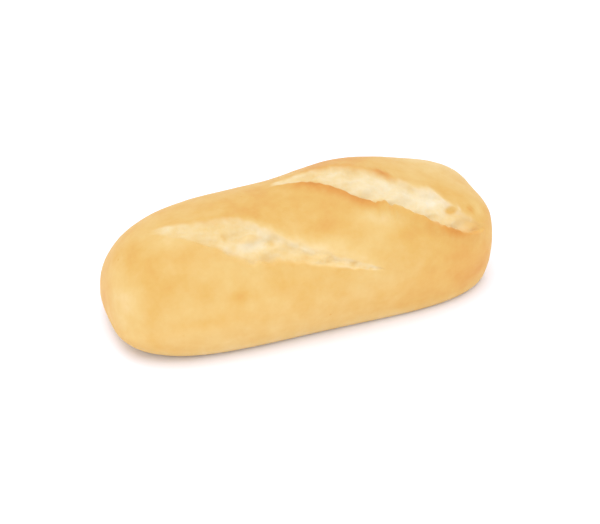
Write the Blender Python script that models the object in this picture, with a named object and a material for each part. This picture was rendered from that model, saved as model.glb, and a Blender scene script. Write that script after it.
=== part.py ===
"""Mini baguette: one whole loaf with two open diagonal cuts, lying on its flat base.

Metres, +Z up. The length runs along X and the front of the loaf faces -Y. The origin is on the
surface that the loaf stands on, under the middle of its box.

A point of the loaf has two parameters. t runs from -1 at the left tip to 1 at the right tip. The
angle v runs round the loaf, 0 on the crest, positive down the front and negative down the back.
"""

import math

import bmesh
import bpy
import numpy as np

MM = 0.001
DEGREE = math.radians(1)

# Driving dimensions of the baked loaf
LENGTH = 130 * MM
WIDTH = 56.8 * MM
HEIGHT = 42.5 * MM

# Body before it swells and is cut: its size, where it is widest, and how blunt its two ends are
BODY_WIDTH = 55.5 * MM
CREST_HEIGHT = 39.4 * MM
BELLY_HEIGHT = 15.5 * MM
BASE_REACH = 1.93
BASE_ROUNDING = 3 * MM
LEFT_END = {"plan": 3.85, "crown": 3.13, "underside": 2.45, "tip_rise": -6.6 * MM, "section": 1.05}
RIGHT_END = {"plan": 3.5, "crown": 2.98, "underside": 4.4, "tip_rise": 1.1 * MM, "section": 0.93}
MIDDLE_SECTION = 0.95
END_BLEND = 4

# Swelling behind the right cut, where the oven lifted the crust most
DOME = {
    "rise": 3.2 * MM,
    "x": 18.8 * MM,
    "reach": 19.5 * MM,
    "angle": -21 * DEGREE,
    "spread": 67 * DEGREE,
}

# The two cuts. Each runs from the crest down the front as it goes right, and is a lens with a torn
# bed between a back lip and a front lip. turn and bend say how its angle changes along X. On each
# side the skin tore wider in one place, tear_x.
LEFT_CUT = {
    "start": -50 * MM,
    "end": 19 * MM,
    "angle": 41.9 * DEGREE,
    "turn": 1.095 * DEGREE / MM,
    "bend": -0.0053 * DEGREE / MM**2,
    "depth": 0.9 * MM,
    "back": {"half": 9.6 * DEGREE, "skew": -0.41, "lip": 0.5 * MM,
             "tear_x": -23.2 * MM, "tear": 8.9 * DEGREE, "tear_reach": 10.9 * MM},
    "front": {"half": 8.3 * DEGREE, "skew": -0.8, "lip": 0.2 * MM,
              "tear_x": -23.9 * MM, "tear": 6.9 * DEGREE, "tear_reach": 7.2 * MM},
}
RIGHT_CUT = {
    "start": -8 * MM,
    "end": 58 * MM,
    "angle": 13.1 * DEGREE,
    "turn": 1.193 * DEGREE / MM,
    "bend": 0.0125 * DEGREE / MM**2,
    "depth": 1.3 * MM,
    "back": {"half": 14.9 * DEGREE, "skew": -0.2, "lip": 0.4 * MM,
             "tear_x": 42.4 * MM, "tear": 7 * DEGREE, "tear_reach": 3 * MM},
    "front": {"half": 14 * DEGREE, "skew": 0.8, "lip": 1.1 * MM,
              "tear_x": 17.5 * MM, "tear": 6.9 * DEGREE, "tear_reach": 6.6 * MM},
}
TIP_HALF = 0.8 * DEGREE
TIP_TURN = 0.3 * DEGREE / MM
WIDTH_TAPER = 0.7
TEAR_TAPER = 0.25
DEPTH_TAPER = 0.6
LIP_WALL = 0.24
LIP_REACH = 3.2 * MM
BED_BULGE = 0.45

# Gentle unevenness of the whole skin: seeded waves, and how many of them run along and round the loaf
SWELLS = 7
SWELL_RISE = 0.15 * MM
SWELLS_ALONG = (2, 9)
SWELLS_AROUND = (1, 5)
SWELL_FADE = {"power": 4, "sharpness": 1.5}
SWELL_SEED = 86

# Crags of the torn crumb in both beds: seeded waves of these lengths
CRAGS = 9
CRAG_RISE = 0.16 * MM
CRAG_LENGTHS = (5 * MM, 11 * MM)
CRAG_SEED = 8

# Mesh: rings along the loaf, and lines round it in strips that follow the edges of the cuts
RINGS = 78
STRIP_LINES = {
    "back_base": 4,
    "back_corner": 5,
    "back_side": 10,
    "right_cut_back_margin": 3,
    "right_cut_bed": 8,
    "right_cut_front_margin": 3,
    "bridge": 7,
    "left_cut_back_margin": 3,
    "left_cut_bed": 8,
    "left_cut_front_margin": 3,
    "front_side": 6,
    "front_corner": 5,
    "front_base": 4,
}
CORNER_ABOVE = 16 * DEGREE
CORNER_BELOW = 12 * DEGREE
CORNER_LAST = 158 * DEGREE
CUT_MARGIN = 6 * DEGREE

CRUST_COLOUR = (0.896, 0.533, 0.153, 1.0)
CRUST_ROUGHNESS = 0.6


def blunt(t, power):
    """Profile 1 in the middle and 0 at t = -1 and 1: (1 - |t|^power)^(1/power), blunter as power grows."""
    return np.maximum(1 - np.abs(t) ** power, 0) ** (1 / power)


def smooth_step(value):
    """0 below 0, 1 above 1, and 3s^2 - 2s^3 between."""
    share = np.clip(value, 0, 1)
    return share * share * (3 - 2 * share)


def body_point(t, v):
    """Point of the uncut loaf: an oval section, taller above the belly than below, drawn in at both ends.

    Round the loaf, y goes as sin(v)^s and z as cos(v)^s, so the section is squarer where s is below 1.
    The bluntness of the ends goes smoothly from the crown's on the crest to the underside's at the belly.
    """
    left = t < 0
    end = {name: np.where(left, LEFT_END[name], RIGHT_END[name]) for name in LEFT_END}
    belly = BELLY_HEIGHT + end["tip_rise"] * t**END_BLEND
    section = MIDDLE_SECTION + (end["section"] - MIDDLE_SECTION) * t**END_BLEND
    side = np.sign(np.sin(v)) * np.abs(np.sin(v)) ** section
    top = np.abs(np.cos(v)) ** section
    shoulder = end["underside"] + (end["crown"] - end["underside"]) * np.cos(v) ** 2
    above = (CREST_HEIGHT - belly) * blunt(t, shoulder) * top
    below = BASE_REACH * belly * blunt(t, end["underside"]) * np.cos(v)
    x = t * LENGTH / 2
    y = -BODY_WIDTH / 2 * blunt(t, end["plan"]) * side
    z = belly + np.where(np.cos(v) > 0, above, below)
    return np.stack([x, y, z], axis=-1)


def outward(t, v):
    """Unit normal of the uncut loaf, from differences of body_point along t and round v."""
    step = 0.001
    inner = np.clip(t, -1 + 2 * step, 1 - 2 * step)
    along = body_point(inner + step, v) - body_point(inner - step, v)
    around = body_point(inner, v + step) - body_point(inner, v - step)
    normal = np.cross(around, along)
    return normal / np.linalg.norm(normal, axis=-1, keepdims=True)


def cut_axis(cut, x):
    """Angle of a cut's middle line at x: a shallow parabola between its tips, nearly level beyond them."""
    middle = (cut["start"] + cut["end"]) / 2
    reach = np.clip(x, cut["start"], cut["end"]) - middle
    beyond = x - middle - reach
    return cut["angle"] + cut["turn"] * reach + cut["bend"] * reach**2 + TIP_TURN * beyond


def cut_span(cut, x):
    """Place along a cut, from -1 at its start to 1 at its end, and the lens shape (1 - place^2)."""
    place = (2 * x - cut["start"] - cut["end"]) / (cut["end"] - cut["start"])
    return place, np.maximum(1 - place**2, 0)


def cut_half(cut, x, side):
    """Half width of the bed, as an angle, on its back or front side: a skewed lens, wider at its tear."""
    place, lens = cut_span(cut, x)
    edge = cut[side]
    tear = edge["tear"] * np.exp(-(((x - edge["tear_x"]) / edge["tear_reach"]) ** 2)) * lens**TEAR_TAPER
    return TIP_HALF + edge["half"] * lens**WIDTH_TAPER * (1 + edge["skew"] * place) + tear


def cut_rise(cut, x, v):
    """Height that a cut adds to the skin: lips that stand up at its edges, and a sunk, bulging bed."""
    offset = v - cut_axis(cut, x)
    front = offset > 0
    half = np.where(front, cut_half(cut, x, "front"), cut_half(cut, x, "back"))
    lip = np.where(front, cut["front"]["lip"], cut["back"]["lip"])
    across = np.abs(offset) / half
    wall = smooth_step((across - 1 + LIP_WALL) / LIP_WALL)
    bed = crag_rise(x, v) - cut["depth"] * (1 - BED_BULGE * (1 - np.minimum(across, 1) ** 2))
    away = np.maximum(across - 1, 0) * half * BODY_WIDTH / 2
    lens = cut_span(cut, x)[1]
    return lens**DEPTH_TAPER * (wall * lip * np.exp(-((away / LIP_REACH) ** 2)) + (1 - wall) * bed)


def dome_rise(x, v):
    """Swelling behind the right cut: a bell along X and round the loaf."""
    distance = ((x - DOME["x"]) / DOME["reach"]) ** 2 + ((v - DOME["angle"]) / DOME["spread"]) ** 2
    return DOME["rise"] * np.exp(-distance)


def crag_rise(x, v):
    """Sum of short waves in all directions over the skin, seen only where a bed lies bare."""
    draw = np.random.default_rng(CRAG_SEED)
    total = np.zeros_like(x)
    for _ in range(CRAGS):
        heading, phase = draw.uniform(0, math.pi), draw.uniform(0, 2 * math.pi)
        number = 2 * math.pi / draw.uniform(*CRAG_LENGTHS)
        total += np.sin(number * (x * math.cos(heading) + v * BODY_WIDTH / 2 * math.sin(heading)) + phase)
    return CRAG_RISE * total


def swell_rise(t, v):
    """Sum of a few broad waves, whole numbers of them round the loaf, that die out at the tips."""
    draw = np.random.default_rng(SWELL_SEED)
    total = np.zeros_like(t)
    for _ in range(SWELLS):
        along, around = draw.uniform(*SWELLS_ALONG), draw.integers(*SWELLS_AROUND)
        total += np.sin(along * t + around * v + draw.uniform(0, 2 * math.pi))
    return SWELL_RISE * total * blunt(t, SWELL_FADE["power"]) ** SWELL_FADE["sharpness"]


def on_floor(z):
    """Heights pressed flat at 0, with a rounded corner of BASE_ROUNDING on the way up."""
    corner = (z + BASE_ROUNDING) ** 2 / (4 * BASE_ROUNDING)
    return np.where(z > BASE_ROUNDING, z, np.where(z < -BASE_ROUNDING, 0, corner))


def loaf_point(t, v):
    """Point of the baked loaf: the body, raised by dome, waves and cuts, set on the floor."""
    x = t * LENGTH / 2
    rise = dome_rise(x, v) + swell_rise(t, v) + cut_rise(LEFT_CUT, x, v) + cut_rise(RIGHT_CUT, x, v)
    point = body_point(t, v) + rise[..., None] * outward(t, v)
    point[..., 2] = on_floor(point[..., 2])
    return point


def corner_angle(x):
    """Angle at which the body meets the floor, which closes in towards the ends of the base."""
    t = 2 * x / LENGTH
    underside = blunt(t, np.where(t < 0, LEFT_END["underside"], RIGHT_END["underside"]))
    meets = np.arccos(-np.minimum(1 / (BASE_REACH * np.maximum(underside, 0.01)), 1))
    return np.minimum(meets, CORNER_LAST)


def strip_angles(x):
    """Angles at x of the lines between strips, from the middle of the base up the back to the front."""
    upper, lower = corner_angle(x) - CORNER_ABOVE, corner_angle(x) + CORNER_BELOW
    edges = [-math.pi + 0 * x, -lower, -upper]
    for cut in (RIGHT_CUT, LEFT_CUT):
        axis = cut_axis(cut, x)
        back = axis - cut_half(cut, x, "back")
        front = axis + cut_half(cut, x, "front")
        edges += [back - CUT_MARGIN, back, front, front + CUT_MARGIN]
    return edges + [upper, lower, math.pi + 0 * x]


def line_angle(line, x):
    """Angle of line number `line` at x: even steps between the lines that bound its strip."""
    edges = strip_angles(x)
    angle = edges[0]
    first = 0
    for lines, low, high in zip(STRIP_LINES.values(), edges, edges[1:]):
        angle = angle + np.clip((line - first) / lines, 0, 1) * (high - low)
        first += lines
    return angle


def shape_loaf(points):
    """Move the points of a unit sphere, whose poles lie on Z, to their places on the loaf."""
    lines = sum(STRIP_LINES.values())
    polar = np.arccos(np.clip(points[:, 2], -1, 1))
    t = -np.cos(polar)
    turn = np.arctan2(points[:, 1], points[:, 0]) / (2 * math.pi)
    line = np.round(turn * lines) % lines
    return loaf_point(t, line_angle(line, t * LENGTH / 2))


def fit_to_box(points):
    """Scale the points to the driving dimensions and centre them over the origin."""
    low, high = points.min(axis=0), points.max(axis=0)
    middle = np.array([(low[0] + high[0]) / 2, (low[1] + high[1]) / 2, low[2]])
    return (points - middle) * (np.array([LENGTH, WIDTH, HEIGHT]) / (high - low))


def crust_material():
    """Pale golden baked crust."""
    material = bpy.data.materials.new("golden_crust")
    material.use_nodes = True
    shader = material.node_tree.nodes["Principled BSDF"]
    shader.inputs["Base Color"].default_value = CRUST_COLOUR
    shader.inputs["Roughness"].default_value = CRUST_ROUGHNESS
    shader.inputs["Metallic"].default_value = 0.0
    return material


def make_loaf(collection):
    """The loaf as one closed mesh, shaped from a sphere with a ring and a line for each step of the grid."""
    mesh = bpy.data.meshes.new("mini_baguette")
    grid = bmesh.new()
    bmesh.ops.create_uvsphere(grid, u_segments=sum(STRIP_LINES.values()), v_segments=RINGS, radius=1)
    points = np.array([vertex.co[:] for vertex in grid.verts])
    for vertex, place in zip(grid.verts, fit_to_box(shape_loaf(points))):
        vertex.co = place
    bmesh.ops.triangulate(grid, faces=grid.faces[:])
    bmesh.ops.recalc_face_normals(grid, faces=grid.faces[:])
    grid.to_mesh(mesh)
    grid.free()
    mesh.shade_smooth()
    mesh.materials.append(crust_material())
    loaf = bpy.data.objects.new("mini_baguette", mesh)
    collection.objects.link(loaf)
    return loaf


def main():
    for item in list(bpy.data.objects):
        bpy.data.objects.remove(item, do_unlink=True)
    collection = bpy.data.collections.new("mini_baguette_model")
    bpy.context.scene.collection.children.link(collection)
    make_loaf(collection)


if __name__ == "__main__":
    main()
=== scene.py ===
import math

import bpy
import numpy as np
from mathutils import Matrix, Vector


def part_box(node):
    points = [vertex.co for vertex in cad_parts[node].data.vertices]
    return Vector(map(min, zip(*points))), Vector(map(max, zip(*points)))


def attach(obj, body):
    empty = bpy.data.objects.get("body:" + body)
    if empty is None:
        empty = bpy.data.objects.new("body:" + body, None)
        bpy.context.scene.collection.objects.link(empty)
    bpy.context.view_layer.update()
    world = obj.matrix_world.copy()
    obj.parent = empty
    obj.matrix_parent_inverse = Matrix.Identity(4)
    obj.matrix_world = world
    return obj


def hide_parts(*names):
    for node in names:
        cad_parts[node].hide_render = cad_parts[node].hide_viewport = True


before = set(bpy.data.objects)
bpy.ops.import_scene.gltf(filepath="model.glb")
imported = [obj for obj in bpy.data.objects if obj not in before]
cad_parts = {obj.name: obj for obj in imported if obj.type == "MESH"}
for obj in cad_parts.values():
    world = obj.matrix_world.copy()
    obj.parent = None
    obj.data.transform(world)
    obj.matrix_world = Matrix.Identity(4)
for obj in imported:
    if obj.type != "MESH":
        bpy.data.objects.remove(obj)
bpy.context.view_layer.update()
mm = 0.001
degree = math.radians(1)
print("frame loaded:", sorted(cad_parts))

# The loaf has the same body as its CAD solid. A point of it has two parameters: t runs from -1 at the
# left tip to 1 at the right tip, and the angle v runs round it, 0 on the crest and positive down the
# front, which faces -Y. Lengths are in metres and angles in radians.
loaf = {
    "bodyWidth": 55.5 * mm,
    "crestHeight": 39.4 * mm,
    "bellyHeight": 15.5 * mm,
    "baseReach": 1.93,
    "baseRounding": 3 * mm,
    "leftEnd": {"plan": 3.85, "crown": 3.13, "underside": 2.45, "tipRise": -6.6 * mm, "section": 1.05},
    "rightEnd": {"plan": 3.5, "crown": 2.98, "underside": 4.4, "tipRise": 1.1 * mm, "section": 0.93},
    "middleSection": 0.95,
    "endBlend": 4,
    "dome": {"rise": 3.2 * mm, "x": 18.8 * mm, "reach": 19.5 * mm, "angle": -21 * degree,
             "spread": 67 * degree},
    "swells": {"count": 7, "rise": 0.15 * mm, "along": (2, 9), "around": (1, 5), "tipTaper": 1.5,
               "seed": 86},
    "crags": {"count": 9, "rise": 0.16 * mm, "lengths": (5 * mm, 11 * mm), "seed": 8},
    "rings": 400,
    "ringCrowding": 4,  # how much closer the places tried for a ring lie towards the tips
    "ringWidth": 0.6,  # share of the width that counts in the steps between rings
    # lines of the grid in each strip round the loaf, from the middle of the base up the back
    "lines": {"backBase": 9, "backCorner": 11, "backSide": 38, "rightBackMargin": 9, "rightBed": 46,
              "rightFrontMargin": 11, "bridge": 24, "leftBackMargin": 9, "leftBed": 40,
              "leftFrontMargin": 7, "frontSide": 24, "frontCorner": 10, "frontBase": 8},
    "cornerAbove": 16 * degree,
    "cornerBelow": 12 * degree,
    "cornerLast": 158 * degree,
    "cutMargin": 6 * degree,
}
leftCut = {
    "start": -50 * mm, "end": 19 * mm, "angle": 41.9 * degree,
    "turn": 1.095 * degree / mm, "bend": -0.0053 * degree / mm**2, "depth": 0.9 * mm,
    "fade": (0.3, 0.2),
    "back": {"half": 9.6 * degree, "skew": -0.41, "lip": 0.5 * mm, "lean": 0.1 * mm, "wall": 5 * mm,
             "bare": (0.97, 1.0, 0.9), "soft": (0.6, 0.6, 0.8),
             "tearX": -23.2 * mm, "tear": 8.9 * degree, "tearReach": 10.9 * mm},
    "front": {"half": 8.3 * degree, "skew": -0.8, "lip": 0.2 * mm, "lean": 0.1 * mm, "wall": 2 * mm,
              "bare": (0.87, 0.85, 0.97), "soft": (0.9, 0.75, 0.6),
              "tearX": -23.9 * mm, "tear": 6.9 * degree, "tearReach": 7.2 * mm},
}
rightCut = {
    "start": -8 * mm, "end": 58 * mm, "angle": 13.1 * degree,
    "turn": 1.193 * degree / mm, "bend": 0.0125 * degree / mm**2, "depth": 1.3 * mm,
    "fade": (0.2, 1.0),
    "back": {"half": 14.9 * degree, "skew": -0.2, "lip": 0.4 * mm, "lean": 0.1 * mm, "wall": 3.5 * mm,
             "bare": (0.9, 0.97, 1.2), "soft": (0.3, 0.6, 0.95),
             "tearX": 42.4 * mm, "tear": 7 * degree, "tearReach": 3 * mm},
    "front": {"half": 14 * degree, "skew": 0.8, "lip": 1.1 * mm, "lean": 0.9 * mm, "wall": 2 * mm,
              "bare": (0.97, 0.97, 0.97), "soft": (0.12, 0.23, 0.35),
              "tearX": 17.5 * mm, "tear": 6.9 * degree, "tearReach": 6.6 * mm},
}
cutEdge = {
    "tipHalf": 0.8 * degree, "tipTurn": 0.3 * degree / mm, "reach": 3.2 * mm, "bulge": 0.45,
    "widthTaper": 0.7, "tearTaper": 0.25, "depthTaper": 0.6, "rimTaper": 0.3,
    "wallShares": (0.2, 0.95), "leanReach": 1.92 * mm,
    "ragged": 0.55 * degree, "raggedLengths": (2.2 * mm, 8 * mm), "raggedWaves": 8,
}
# Fine relief of the torn crumb's pores and of the skin's wrinkles, each by the size of its cells and
# its height, and the fray of the crumb's edge, by the size of its cells and its share
relief = {
    "pores": [(5.5 * mm, 0.24 * mm), (2.6 * mm, 0.13 * mm), (1.3 * mm, 0.04 * mm)],
    "poreStretch": 0.6,
    "webSharpness": 2.2, "webMiddle": 0.5,
    "wrinkles": [(9 * mm, 0.12 * mm), (3.6 * mm, 0.05 * mm), (1.8 * mm, 0.02 * mm)],
    "smoothBelow": 3 * mm,
    "fray": [(4.2 * mm, 0.10), (2 * mm, 0.05)],
    "seed": 21,
}
# The larger holes of the left bed: x in mm, angle in degrees, radius in mm, depth in mm
openHoles = [
    (-28.7, 24.5, 1.2, 0.3), (-26.9, 33.5, 1.2, 0.25), (-15, 36, 1.3, 0.3), (-10.8, 39, 1.2, 0.3),
    (-6.5, 42.5, 1.0, 0.3), (2.2, 55.5, 1.0, 0.25), (9.2, 64.5, 1.2, 0.35), (14.6, 71, 0.9, 0.3),
]
# Colour of the rims of the cuts: how deep, where along the cut, and how wide from the edge. Above 0 a
# rim is deeper, below 0 paler; the paler back rims are painted light that lifts the shade on the walls
# under the back lips.
rims = [
    {"cut": rightCut, "side": "front", "tone": 1.0, "x": 5 * mm, "reach": 7 * mm, "width": 2.8 * mm},
    {"cut": rightCut, "side": "front", "tone": 1.1, "x": 20 * mm, "reach": 8 * mm, "width": 2.8 * mm},
    {"cut": rightCut, "side": "front", "tone": 0.7, "x": 46 * mm, "reach": 8 * mm, "width": 2.2 * mm},
    {"cut": rightCut, "side": "back", "tone": 0.3, "x": 17 * mm, "reach": 8 * mm, "width": 2 * mm},
    {"cut": rightCut, "side": "back", "tone": 1.0, "x": 29 * mm, "reach": 3.5 * mm, "width": 2.2 * mm},
    # Painted light: a paler rim that lifts the shade on the wall under the left cut's back lip
    {"cut": leftCut, "side": "back", "tone": -0.6, "x": -8 * mm, "reach": 20 * mm, "width": 2.8 * mm},
    # Painted light: a paler rim that lifts the shade on the wall under the right cut's back lip
    {"cut": rightCut, "side": "back", "tone": -0.7, "x": 42 * mm, "reach": 9 * mm, "width": 2.4 * mm},
]
# Paler (below 0) and deeper baked (above 0) places: x in mm, angle in degrees, reach in mm along
# the loaf and round it, and tone
bakedPlaces = {
    "bridge pale": (21.4, 34.5, 7, 5, -0.7),
    "bridge low pale": (13, 56, 8, 4, -0.4),
    "under left cut's end": (13, 74, 8, 5, -0.35),
    "bridge gold": (2.9, 34, 5, 3, 0.25),
    "bridge right gold": (30, 52, 6, 5, 0.2),
    "above left cut's end": (2, 48, 8, 3.2, -0.45),
    "bridge spot": (11.9, 46, 3.5, 2, 0.1),
    "above left bed": (-27.3, 10, 6, 2.5, 0.2),
    "under left bed": (-36, 50, 14, 9, -0.25),
    "left top gold": (-56, 5, 4, 4, 0.25),
    "left end pale": (-61.5, 40, 4, 18, -0.6),
    "low front pale": (-15, 92, 60, 16, -0.35),
    "upper left pale": (-47, -6, 9, 8, -0.3),
    "low left pale": (-38.7, 74.5, 4, 3, -0.2),
    "low left spot": (-29, 70.5, 3, 2, 0.3),
    "low right gold": (50, 95, 12, 14, 0.4),
    "dome gold": (18, -28, 17, 6, 0.5),
    "far dome pale": (50, -28, 13, 14, -0.65),
    "right tip pale": (57, 45, 2.5, 5, -0.5),
    "right tip gold": (54, 41, 1.8, 1.8, 0.7),
    "right tip edge": (61, 64, 3, 8, 0.1),
    "right island gold": (46.6, 38, 2.5, 2, 0.1),
    "left island pale": (-22.2, 30.5, 5, 3, -0.8),
    "under left tip": (-46, 13, 5, 3, -0.45),
    "left bed shore": (-39, 21, 6, 3, -0.4),
    "low middle gold": (-6, 83, 8, 8, 0.2),
}
# Paler (below 0) and deeper (above 0) places of the crumb, placed in the same way
crumbPlaces = {
    "right bed pale": (28, 8, 12, 8, -0.4),
    "right bed cream": (40, 30, 6, 4, -0.55),
    "right bed start": (5, -8, 5, 4, 0.3),
    "left bed gold": (4, 54, 16, 7, 0.7),
    "left bed straw": (-38, 12, 12, 6, 0.3),
    "left bed middle": (-12, 39, 7, 5, 0.1),
    "left bed top": (-27, 17, 8, 4, 0.25),
    "left bed foot": (-20, 42, 6, 2, 0.3),
    "left bed cream": (-21.5, 36, 5, 2.5, -0.6),
}
# Crumb that shows in short tears past the right cut's end, and golden skin left standing in the
# beds, both placed in the same way, and the shares of a patch over which its edge comes up
crumbTears = {
    "first tear": (49.3, 40, 1.3, 3.5, 0.55),
    "second tear": (52.6, 52, 1.3, 3.5, 0.5),
}
skinIslands = {
    "left island": (-22.2, 30.5, 5, 2, 0.85),
    "right island": (46.4, 39.5, 2.6, 2.0, 1.1),
}
patchEdge = {"start": 0.35, "steepness": 1.6}
# How much paler the skin is at the floor, and up to what height: partly less baked skin low on the
# sides, partly painted light that lifts the shade there
paleBase = {"tone": 0.6, "height": 7 * mm}


# 1 in the middle and 0 at t = -1 and 1: (1 - |t| to the power) to one over the power
def blunt(t, power):
    return np.maximum(1 - np.abs(t) ** power, 0) ** (1 / power)


# 0 below 0, 1 above 1, and 3 s squared less 2 s cubed between
def smoothStep(value):
    share = np.clip(value, 0, 1)
    return share * share * (3 - 2 * share)


# A bell over the distances, each measured in its own reach: e to the minus sum of squares
def bell(*distances):
    return np.exp(-sum(distance**2 for distance in distances))


# Cloudy field from -1 to 1: a seeded random slope at each corner of a lattice of cells, blended
# across every cell by a quintic
def cloud(points, cell, seed):
    size = 512
    draw = np.random.default_rng(seed)
    slopes = draw.normal(size=(size, 3))
    slopes /= np.linalg.norm(slopes, axis=1, keepdims=True)
    shuffle = draw.permutation(size)
    place = points / cell
    corner = np.floor(place).astype(int)
    share = place - corner
    ease = share**3 * (share * (6 * share - 15) + 10)
    total = np.zeros(points.shape[:-1])
    for step in np.ndindex(2, 2, 2):
        key = (corner + step) % size
        pick = shuffle[(shuffle[(shuffle[key[..., 0]] + key[..., 1]) % size] + key[..., 2]) % size]
        weight = np.prod(np.where(np.array(step) == 1, ease, 1 - ease), axis=-1)
        total += weight * np.sum(slopes[pick] * (share - step), axis=-1)
    return 1.6 * total


# Uncut loaf: x goes with t, y as sin v and z as cos v, each to the section's power, drawn in at both
# ends. Below the belly z goes further down, to where the floor presses it flat.
def bodyPoint(t, v):
    leftEnd, rightEnd = loaf["leftEnd"], loaf["rightEnd"]
    end = {name: np.where(t < 0, leftEnd[name], rightEnd[name]) for name in leftEnd}
    belly = loaf["bellyHeight"] + end["tipRise"] * t ** loaf["endBlend"]
    section = loaf["middleSection"] + (end["section"] - loaf["middleSection"]) * t ** loaf["endBlend"]
    side = np.sign(np.sin(v)) * np.abs(np.sin(v)) ** section
    shoulder = end["underside"] + (end["crown"] - end["underside"]) * np.cos(v) ** 2
    above = (loaf["crestHeight"] - belly) * blunt(t, shoulder) * np.abs(np.cos(v)) ** section
    below = loaf["baseReach"] * belly * blunt(t, end["underside"]) * np.cos(v)
    x = t * loafLength / 2
    y = -loaf["bodyWidth"] / 2 * blunt(t, end["plan"]) * side
    z = belly + np.where(np.cos(v) > 0, above, below)
    return np.stack([x, y, z], axis=-1)


# Unit vectors of the uncut loaf at t and v: outwards, and round it towards the front, both from
# differences of bodyPoint
def bodyVectors(t, v):
    step = 0.001
    inner = np.clip(t, -1 + 2 * step, 1 - 2 * step)
    along = bodyPoint(inner + step, v) - bodyPoint(inner - step, v)
    around = bodyPoint(inner, v + step) - bodyPoint(inner, v - step)
    outward = np.cross(around, along)
    outward /= np.linalg.norm(outward, axis=-1, keepdims=True)
    around /= np.maximum(np.linalg.norm(around, axis=-1, keepdims=True), 1e-9)
    return outward, around


# Angle of a cut's middle line: a shallow parabola between its tips, nearly level beyond them
def cutAxis(cut, x):
    middle = (cut["start"] + cut["end"]) / 2
    reach = np.clip(x, cut["start"], cut["end"]) - middle
    beyond = x - middle - reach
    return cut["angle"] + cut["turn"] * reach + cut["bend"] * reach**2 + cutEdge["tipTurn"] * beyond


# Place along a cut, -1 to 1, and its lens: 1 less the place squared
def cutSpan(cut, x):
    place = (2 * x - cut["start"] - cut["end"]) / (cut["end"] - cut["start"])
    return place, np.maximum(1 - place**2, 0)


# Raggedness along an edge: a sum of seeded sine waves of mixed lengths
def raggedEdge(x, seed):
    draw = np.random.default_rng(seed)
    total = np.zeros_like(x)
    for wave in range(cutEdge["raggedWaves"]):
        length = draw.uniform(*cutEdge["raggedLengths"])
        total += np.sin(2 * math.pi * x / length + draw.uniform(0, 2 * math.pi))
    return total * math.sqrt(2 / cutEdge["raggedWaves"])


# Half width of a bed on one side, as an angle: a skewed lens, wider at its tear, with a ragged edge
def cutHalf(cut, x, side):
    place, lens = cutSpan(cut, x)
    edge = cut[side]
    tear = edge["tear"] * bell((x - edge["tearX"]) / edge["tearReach"]) * lens ** cutEdge["tearTaper"]
    seed = round(1e6 * (cut["end"] + edge["half"]))
    ragged = cutEdge["ragged"] * raggedEdge(x, seed) * lens
    skewed = edge["half"] * lens ** cutEdge["widthTaper"] * (1 + edge["skew"] * place)
    return cutEdge["tipHalf"] + skewed + tear + ragged


# How a point lies to a cut: its share of the half width, which side it is on, its way from the
# edge in metres, and how far up the wall to the lip it is, 0 to 1
def cutPlace(cut, x, v):
    offset = v - cutAxis(cut, x)
    front = offset > 0
    half = np.where(front, cutHalf(cut, x, "front"), cutHalf(cut, x, "back"))
    across = np.abs(offset) / half
    wall = np.where(front, cut["front"]["wall"], cut["back"]["wall"])
    share = np.clip(wall / (half * loaf["bodyWidth"] / 2), *cutEdge["wallShares"])
    rise = smoothStep((across - 1 + share) / share)
    away = (across - 1) * half * loaf["bodyWidth"] / 2
    return {"across": across, "front": front, "away": away, "wall": rise, "lens": cutSpan(cut, x)[1]}


# Rise of a cut over the skin: lips that fall away as a bell, and a sunk bed that bulges in its middle
def cutRise(cut, x, v):
    place = cutPlace(cut, x, v)
    lip = np.where(place["front"], cut["front"]["lip"], cut["back"]["lip"])
    bulge = cutEdge["bulge"] * (1 - np.minimum(place["across"], 1) ** 2)
    bed = cragRise(x, v) - cut["depth"] * (1 - bulge)
    lipRise = lip * bell(np.maximum(place["away"], 0) / cutEdge["reach"])
    wall = place["wall"]
    return place["lens"] ** cutEdge["depthTaper"] * (wall * lipRise + (1 - wall) * bed)


# Lean of a cut's lips over its bed, round the loaf: full on top of the lip, none at the wall's foot
def cutLean(cut, x, v):
    place = cutPlace(cut, x, v)
    lean = np.where(place["front"], -cut["front"]["lean"], cut["back"]["lean"])
    fall = bell(np.maximum(place["away"], 0) / cutEdge["leanReach"])
    return lean * place["lens"] * place["wall"] * fall


# Broad swelling behind the right cut: a bell along x and round the loaf
def domeRise(x, v):
    dome = loaf["dome"]
    return dome["rise"] * bell((x - dome["x"]) / dome["reach"], (v - dome["angle"]) / dome["spread"])


# Crags of the beds: a sum of seeded waves in all directions over the skin
def cragRise(x, v):
    crags = loaf["crags"]
    draw = np.random.default_rng(crags["seed"])
    total = np.zeros_like(x)
    for wave in range(crags["count"]):
        heading, phase = draw.uniform(0, math.pi), draw.uniform(0, 2 * math.pi)
        number = 2 * math.pi / draw.uniform(*crags["lengths"])
        way = x * math.cos(heading) + v * loaf["bodyWidth"] / 2 * math.sin(heading)
        total += np.sin(number * way + phase)
    return crags["rise"] * total


# Gentle unevenness: a sum of broad seeded waves, whole numbers of them round the loaf, none at the tips
def swellRise(t, v):
    swells = loaf["swells"]
    draw = np.random.default_rng(swells["seed"])
    total = np.zeros_like(t)
    for wave in range(swells["count"]):
        along, around = draw.uniform(*swells["along"]), draw.integers(*swells["around"])
        total += np.sin(along * t + around * v + draw.uniform(0, 2 * math.pi))
    return swells["rise"] * total * blunt(t, 4) ** swells["tipTaper"]


# Heights pressed flat at 0, with a parabola for the corner on the way up
def onFloor(z):
    rounding = loaf["baseRounding"]
    return np.where(z > rounding, z, np.where(z < -rounding, 0, (z + rounding) ** 2 / (4 * rounding)))


# Baked loaf before its fine relief: the body, raised by dome, waves and cuts, its lips leant over
def loafPoint(t, v):
    x = t * loafLength / 2
    outward, around = bodyVectors(t, v)
    rise = domeRise(x, v) + swellRise(t, v) + cutRise(leftCut, x, v) + cutRise(rightCut, x, v)
    lean = cutLean(leftCut, x, v) + cutLean(rightCut, x, v)
    point = bodyPoint(t, v) + rise[..., None] * outward + lean[..., None] * around
    point[..., 2] = onFloor(point[..., 2])
    return point


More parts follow.
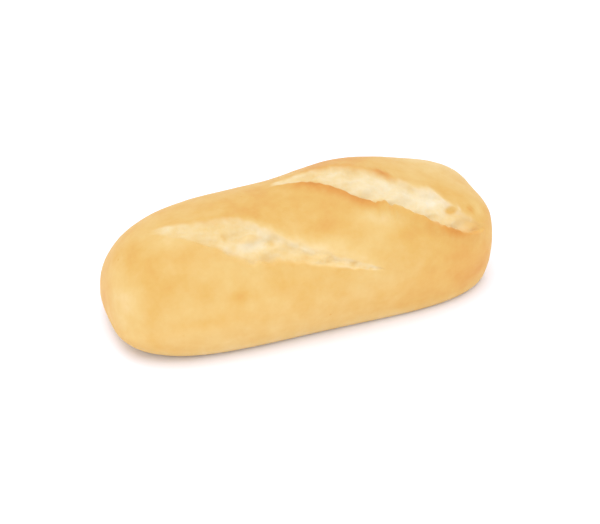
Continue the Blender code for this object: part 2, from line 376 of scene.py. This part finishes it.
# Angle at which the body meets the floor: where the lower half's cosine brings z to 0
def cornerAngle(x):
    t = 2 * x / loafLength
    underside = blunt(t, np.where(t < 0, loaf["leftEnd"]["underside"], loaf["rightEnd"]["underside"]))
    meets = np.arccos(-np.minimum(1 / (loaf["baseReach"] * np.maximum(underside, 0.01)), 1))
    return np.minimum(meets, loaf["cornerLast"])


# Angles of all the grid's lines at x: even steps between the lines that bound each strip
def lineAngles(x):
    upper, lower = cornerAngle(x) - loaf["cornerAbove"], cornerAngle(x) + loaf["cornerBelow"]
    edges = [-math.pi + 0 * x, -lower, -upper]
    for cut in (rightCut, leftCut):
        back = cutAxis(cut, x) - cutHalf(cut, x, "back")
        front = cutAxis(cut, x) + cutHalf(cut, x, "front")
        edges += [back - loaf["cutMargin"], back, front, front + loaf["cutMargin"]]
    edges += [upper, lower, math.pi + 0 * x]
    strips = []
    for lines, low, high in zip(loaf["lines"].values(), edges, edges[1:]):
        strips.append(low[:, None] + np.arange(lines) / lines * (high - low)[:, None])
    return np.concatenate(strips, axis=1)


# Values of t for the rings: even steps along the plan's outline, found by adding up short chords
def ringPlaces():
    fine = np.linspace(0, 1, 6001)
    half = 1 - (1 - fine) ** loaf["ringCrowding"]
    t = np.concatenate([-half[:0:-1], half])
    plan = np.where(t < 0, loaf["leftEnd"]["plan"], loaf["rightEnd"]["plan"])
    x, y = t * loafLength / 2, loaf["ringWidth"] * blunt(t, plan) * loaf["bodyWidth"] / 2
    way = np.concatenate([[0], np.cumsum(np.hypot(np.diff(x), np.diff(y)))])
    steps = np.linspace(0, way[-1], loaf["rings"] + 2)[1:-1]
    return np.interp(steps, way, t)


# Unit normals of a grid: the cross product of its steps round and along
def gridNormals(points):
    along = np.gradient(points, axis=0)
    around = np.roll(points, -1, axis=1) - np.roll(points, 1, axis=1)
    normal = np.cross(around, along)
    return normal / np.maximum(np.linalg.norm(normal, axis=-1, keepdims=True), 1e-12)


# A named place as a bell of its own reach along the loaf and round it
def placeBell(x, v, place):
    around = (v - place[1] * degree) * loaf["bodyWidth"] / 2 / mm
    return place[4] * bell((x / mm - place[0]) / place[2], around / place[3])


# Share of bare crumb: 1 inside the bare share of the beds, falling to 0 over the soft share, plus the
# tears, and 0 on the skin that is left standing in them
def crumbMask(x, v, points):
    mask = np.zeros_like(x)
    fray = sum(share * cloud(points, cell, relief["seed"] + 20 + order)
               for order, (cell, share) in enumerate(relief["fray"]))
    for cut in (leftCut, rightCut):
        place = cutPlace(cut, x, v)
        along = np.clip((x - cut["start"]) / (cut["end"] - cut["start"]), 0, 1)
        bare, soft = (
            np.where(place["front"], np.interp(along, (0, 0.5, 1), cut["front"][name]),
                     np.interp(along, (0, 0.5, 1), cut["back"][name]))
            for name in ("bare", "soft"))
        inside = smoothStep((bare + soft / 3 - place["across"] + fray) / soft)
        fade = np.interp(along, (0, 1), cut["fade"])
        mask = np.maximum(mask, inside * smoothStep(place["lens"] / fade))
    tears, islands = (sum(placeBell(x, v, place) for place in places.values())
                      for places in (crumbTears, skinIslands))
    tears, islands = (smoothStep(patchEdge["steepness"] * patch + fray - patchEdge["start"])
                      for patch in (tears, islands))
    return np.maximum(mask, tears) * (1 - islands)


# Depth of colour about 0, of the skin and of the crumb: the named places of each plus the cuts' rims,
# whose paler back rims are painted light on the shaded walls, and less of it on the skin round the
# base, partly less baked skin and partly painted light that lifts the shade low on the sides
def bakeAndPaintedLightTones(x, v, points):
    rimTone = 0 * x
    for rim in rims:
        place = cutPlace(rim["cut"], x, v)
        onSide = place["front"] == (rim["side"] == "front")
        strength = bell(place["away"] / rim["width"], (x - rim["x"]) / rim["reach"])
        rimTone += rim["tone"] * strength * place["lens"] ** cutEdge["rimTaper"] * onSide
    skin, crumb = (rimTone + sum(placeBell(x, v, place) for place in places.values())
                   for places in (bakedPlaces, crumbPlaces))
    return skin - paleBase["tone"] * smoothStep(1 - points[..., 2] / paleBase["height"]), crumb


# Fine relief along the normals: sharp-crested webs round rounded pores in the crumb, taken from
# minus the absolute value of a cloud, and soft wrinkles on the skin. The second value, the pores plus
# twice the open holes, goes into the crumb's colour as painted shade in the pits and painted light on the
# webs.
def fineRelief(x, v, points, crumb):
    stretched = points * np.array([relief["poreStretch"], 1, 1])
    pores = 0
    for order, (cell, height) in enumerate(relief["pores"]):
        webs = np.abs(relief["webSharpness"] * cloud(stretched, cell, relief["seed"] + order))
        pores = pores - height * (webs - relief["webMiddle"])
    wrinkles = sum(height * cloud(points, cell, relief["seed"] + 10 + order)
                   for order, (cell, height) in enumerate(relief["wrinkles"]))
    holes = sum(placeBell(x, v, (place, angle, radius, radius, -depth * mm))
                for place, angle, radius, depth in openHoles)
    return crumb * (pores + holes) + (1 - crumb) * wrinkles, pores + 2 * holes


# Closed mesh from a grid that joins up round the loaf, with one more point at each end
def closedMesh(name, points):
    rings, lines = points.shape[:2]
    number = np.arange(rings * lines).reshape(rings, lines)
    beside = np.roll(number, -1, axis=1)
    quads = np.stack([number[:-1], beside[:-1], beside[1:], number[1:]], axis=-1).reshape(-1, 4)
    first, last = rings * lines, rings * lines + 1
    leftFan = np.stack([np.full(lines, first), beside[0], number[0]], axis=-1)
    rightFan = np.stack([np.full(lines, last), number[-1], beside[-1]], axis=-1)
    tips = [points[0].mean(axis=0), points[-1].mean(axis=0)]
    mesh = bpy.data.meshes.new(name)
    places = np.concatenate([points.reshape(-1, 3), tips])
    mesh.from_pydata(places.tolist(), [], quads.tolist() + leftFan.tolist() + rightFan.tolist())
    mesh.shade_smooth()
    return mesh


# A value for each point of the grid as an attribute of the mesh, with the ring's mean at the tips
def paintMesh(mesh, name, values):
    spread = np.concatenate([values.ravel(), [values[0].mean(), values[-1].mean()]])
    mesh.attributes.new(name, "FLOAT", "POINT").data.foreach_set("value", spread.astype(np.float32))


# Moves and scales points to the CAD solid's box: each axis from its own least and most to the box's
def fitToBox(points, low, high):
    pointLow, pointHigh = points.min(axis=(0, 1)), points.max(axis=(0, 1))
    return low + (points - pointLow) * (high - low) / (pointHigh - pointLow)


def makeLoaf():
    low, high = (np.array(corner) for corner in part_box("mini_baguette"))
    t = ringPlaces()
    v = lineAngles(t * loafLength / 2)
    t = t[:, None] + 0 * v
    x = t * loafLength / 2
    points = loafPoint(t, v)
    crumb = crumbMask(x, v, points)
    lift, pores = fineRelief(x, v, points, crumb)
    lift *= smoothStep(points[..., 2] / relief["smoothBelow"])
    points = fitToBox(points + lift[..., None] * gridNormals(points), low, high)
    mesh = closedMesh("bakedLoaf", points)
    paintMesh(mesh, "crumbShare", crumb)
    skinTone, crumbTone = bakeAndPaintedLightTones(x, v, points)
    paintMesh(mesh, "skinTone", skinTone)
    paintMesh(mesh, "crumbTone", crumbTone)
    # Mask of the painted shade on top: how much the uncut loaf's face looks up
    paintMesh(mesh, "topShadeMask", np.maximum(bodyVectors(t, v)[0][..., 2], 0))
    # the pores' relief and twice the open holes, for the painted shade in the crumb's pits and painted
    # light on its webs
    paintMesh(mesh, "paintedPoreShade", pores / mm)
    piece = bpy.data.objects.new("bakedLoaf", mesh)
    bpy.context.scene.collection.objects.link(piece)
    return piece


# Linear colour of an sRGB hex value
def hexColour(text):
    shares = [int(text[place:place + 2], 16) / 255 for place in (1, 3, 5)]
    return [share / 12.92 if share <= 0.04045 else ((share + 0.055) / 1.055) ** 2.4
            for share in shares] + [1]


# Adds a node, with its own settings and sockets' values, links into it, and a ramp's stops from 0 to 1
def addNode(tree, kind, values={}, links={}, stops=()):
    node = tree.nodes.new(kind)
    for name, value in values.items():
        if isinstance(name, str) and hasattr(node, name):
            setattr(node, name, value)
        else:
            node.inputs[name].default_value = value
    for name, source in links.items():
        tree.links.new(source, node.inputs[name])
    for place, tone in stops[1:-1]:
        node.color_ramp.elements.new(place)
    for element, (place, tone) in zip(node.color_ramp.elements if stops else (), stops):
        element.color = hexColour(tone)
    return node


def newMaterial(name):
    material = bpy.data.materials.new(name)
    material.use_nodes = True
    tree = material.node_tree
    tree.nodes.clear()
    return material, tree


# Wheat bread: a thin dry skin, oven-baked from pale straw to gold, that scatters light softly with a
# low sheen, and torn crumb that is matt cream, full of pores, and catches light on its webs.
bread = {
    "crust": [(0.0, "#E8CF9C"), (0.3, "#DFBC76"), (0.5, "#DAAE5E"), (0.75, "#D49643"), (1.0, "#C27B31")],
    "crumb": [(0.0, "#DBAF68"), (0.25, "#E2C488"), (0.5, "#E5CFA1"), (0.75, "#E8D9B8"), (1.0, "#ECE3CF")],
    # crown: painted shade, the colour kept where a face looks straight up, darkening the top against the
    # stronger light from above
    "crown": (0.84, 0.83, 0.81, 1),  # share of the colour that stays where a face looks straight up
    "crustTone": 0.42, "crustClouds": [(24 * mm, 0.32), (6 * mm, 0.32), (1.4 * mm, 0.1)],
    # The pores' weight in the crumb's colour is painted shade in the pits and open holes and painted
    # light on the webs
    "crumbTone": -0.5, "crumbClouds": [(5 * mm, 0.4), (1.6 * mm, 0.26)], "poreShadeTone": 0.4,
    "speckCell": 11 * mm, "speckSize": 0.05, "speckTone": 0.25,
    "grainCell": 1.2 * mm,  # real grain is 0.3 mm, too fine to show
    "skinRoughness": (0.48, 0.64), "crumbRoughness": 0.85,
    "skinBump": 0.03 * mm, "crumbBump": 0.06 * mm, "crumbCell": 1.3 * mm,
    "scatter": {"Subsurface Weight": 0.1, "Subsurface Radius": (1.0, 0.7, 0.4),
                "Subsurface Scale": 0.6 * mm},
}


# Depth of colour: 0.5 plus each field times its amount, with clouds of noise counted from their middle
def colourDepth(tree, place, fields, clouds):
    depth = None
    start = 0.5 - sum(amount / 2 for cell, amount in clouds)
    for cell, amount in clouds:
        noise = addNode(tree, "ShaderNodeTexNoise", {"Scale": 1 / cell, "Detail": 3}, {"Vector": place})
        fields = fields + [(noise.outputs[0], amount)]
    for field, amount in fields:
        step = addNode(tree, "ShaderNodeMath", {"operation": "MULTIPLY_ADD", 1: amount, 2: start},
                       {0: field} if depth is None else {0: field, 2: depth})
        depth = step.outputs[0]
    return depth


def breadMaterial():
    material, tree = newMaterial("ovenBakedWheatBread")
    place = addNode(tree, "ShaderNodeTexCoord").outputs["Object"]
    crumb, skinTone, crumbTone, pores, topShadeMask = (
        addNode(tree, "ShaderNodeAttribute", {"attribute_name": name}).outputs["Fac"]
        for name in ("crumbShare", "skinTone", "crumbTone", "paintedPoreShade", "topShadeMask"))
    cells = addNode(tree, "ShaderNodeTexVoronoi", {"Scale": 1 / bread["speckCell"]}, {"Vector": place})
    specks = addNode(tree, "ShaderNodeMapRange", {1: bread["speckSize"], 2: 0.0, 3: 0.0, 4: 1.0},
                     {0: cells.outputs["Distance"]})
    skinFields = [(skinTone, bread["crustTone"]), (specks.outputs[0], bread["speckTone"])]
    crumbFields = [(crumbTone, bread["crumbTone"]), (pores, bread["poreShadeTone"])]
    crustDepth = colourDepth(tree, place, skinFields, bread["crustClouds"])
    crumbDepth = colourDepth(tree, place, crumbFields, bread["crumbClouds"])
    crustColour = addNode(tree, "ShaderNodeValToRGB", {}, {"Fac": crustDepth}, bread["crust"])
    crumbColour = addNode(tree, "ShaderNodeValToRGB", {}, {"Fac": crumbDepth}, bread["crumb"])
    breadColour = addNode(tree, "ShaderNodeMix", {"data_type": "RGBA"},
                          {0: crumb, 6: crustColour.outputs["Color"], 7: crumbColour.outputs["Color"]})
    # Painted shade: the bread's colour is multiplied towards the crown colour where a face looks up,
    # darkening the top against the stronger light from above
    crown = {"data_type": "RGBA", "blend_type": "MULTIPLY", 7: bread["crown"]}
    colour = addNode(tree, "ShaderNodeMix", crown, {0: topShadeMask, 6: breadColour.outputs[2]})
    grainScale = {"Scale": 1 / bread["grainCell"], "Detail": 3}
    grain = addNode(tree, "ShaderNodeTexNoise", grainScale, {"Vector": place})
    low, high = bread["skinRoughness"]
    skinRough = addNode(tree, "ShaderNodeMapRange", {3: low, 4: high}, {0: grain.outputs[0]})
    rough = addNode(tree, "ShaderNodeMix", {"data_type": "FLOAT", 3: bread["crumbRoughness"]},
                    {0: crumb, 2: skinRough.outputs[0]})
    skinBump = addNode(tree, "ShaderNodeBump", {"Distance": bread["skinBump"]},
                       {"Height": grain.outputs[0]})
    pits = addNode(tree, "ShaderNodeTexVoronoi",
                   {"Scale": 1 / bread["crumbCell"], "feature": "SMOOTH_F1"}, {"Vector": place})
    pitHeight = addNode(tree, "ShaderNodeMath", {"operation": "MULTIPLY"},
                        {0: pits.outputs["Distance"], 1: crumb})
    crumbBump = addNode(tree, "ShaderNodeBump", {"Distance": bread["crumbBump"]},
                        {"Height": pitHeight.outputs[0], "Normal": skinBump.outputs[0]})
    shader = addNode(tree, "ShaderNodeBsdfPrincipled", {"Specular IOR Level": 0.35, **bread["scatter"]},
                     {"Base Color": colour.outputs[2], "Roughness": rough.outputs[0],
                      "Normal": crumbBump.outputs[0]})
    addNode(tree, "ShaderNodeOutputMaterial", {}, {"Surface": shader.outputs[0]})
    return material


def paperMaterial():
    # matt seamless paper, a little blue, so brightly lit that it is plain white to the eye
    material, tree = newMaterial("whiteBackgroundPaper")
    shader = addNode(tree, "ShaderNodeBsdfPrincipled",
                     {"Base Color": hexColour("#F4F4FF"), "Roughness": 1.0, "Specular IOR Level": 0.0})
    addNode(tree, "ShaderNodeOutputMaterial", {}, {"Surface": shader.outputs[0]})
    return material


studio = {
    "floorSize": 6.0, "skyStrength": 1.15,
    "softbox": {"azimuth": -45 * degree, "elevation": 79 * degree, "distance": 1.1, "size": 0.8,
                "power": 4.4},
    "camera": {"aim": (-0.35 * mm, -2.73 * mm, 14.16 * mm), "azimuth": -20.04 * degree,
               "elevation": 35 * degree, "distance": 545 * mm, "lens": 100},
}


def makeStudio():
    half = studio["floorSize"] / 2
    mesh = bpy.data.meshes.new("studioFloor")
    corners = [(-half, -half, 0), (half, -half, 0), (half, half, 0), (-half, half, 0)]
    mesh.from_pydata(corners, [], [(0, 1, 2, 3)])
    floor = bpy.data.objects.new("studioFloor", mesh)
    bpy.context.scene.collection.objects.link(floor)
    mesh.materials.append(paperMaterial())
    world = bpy.data.worlds.new("whiteStudio")
    world.use_nodes = True
    world.node_tree.nodes["Background"].inputs["Color"].default_value = (1, 1, 1, 1)
    world.node_tree.nodes["Background"].inputs["Strength"].default_value = studio["skyStrength"]
    bpy.context.scene.world = world
    softbox = studio["softbox"]
    light = bpy.data.lights.new("softbox", "AREA")
    light.shape, light.size, light.energy = "SQUARE", softbox["size"], softbox["power"]
    aimAt(bpy.data.objects.new("softbox", light), softbox)


# Puts an object in the scene, upright and looking at its aim: its place is the aim plus its distance
# along the direction of its azimuth, 0 in front of the loaf, and its elevation
def aimAt(thing, view):
    azimuth, elevation = view["azimuth"], view["elevation"]
    level = math.cos(elevation)
    backwards = np.array([math.sin(azimuth) * level, -math.cos(azimuth) * level, math.sin(elevation)])
    thing.location = np.array(view.get("aim", (0, 0, 0))) + view["distance"] * backwards
    thing.rotation_euler = (math.pi / 2 - elevation, 0, azimuth)
    bpy.context.scene.collection.objects.link(thing)


def makeCamera():
    camera = bpy.data.objects.new("photoCamera", bpy.data.cameras.new("photoCamera"))
    camera.data.lens = studio["camera"]["lens"]
    aimAt(camera, studio["camera"])
    bpy.context.scene.camera = camera


loafLow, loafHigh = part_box("mini_baguette")
loafLength = loafHigh.x - loafLow.x
bakedLoaf = makeLoaf()
bakedLoaf.data.materials.append(breadMaterial())
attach(bakedLoaf, "root")
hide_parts("mini_baguette")
print("loaf made:", len(bakedLoaf.data.polygons), "faces")

makeStudio()
makeCamera()
bpy.context.scene.view_settings.view_transform = "Standard"
print("studio and camera made")
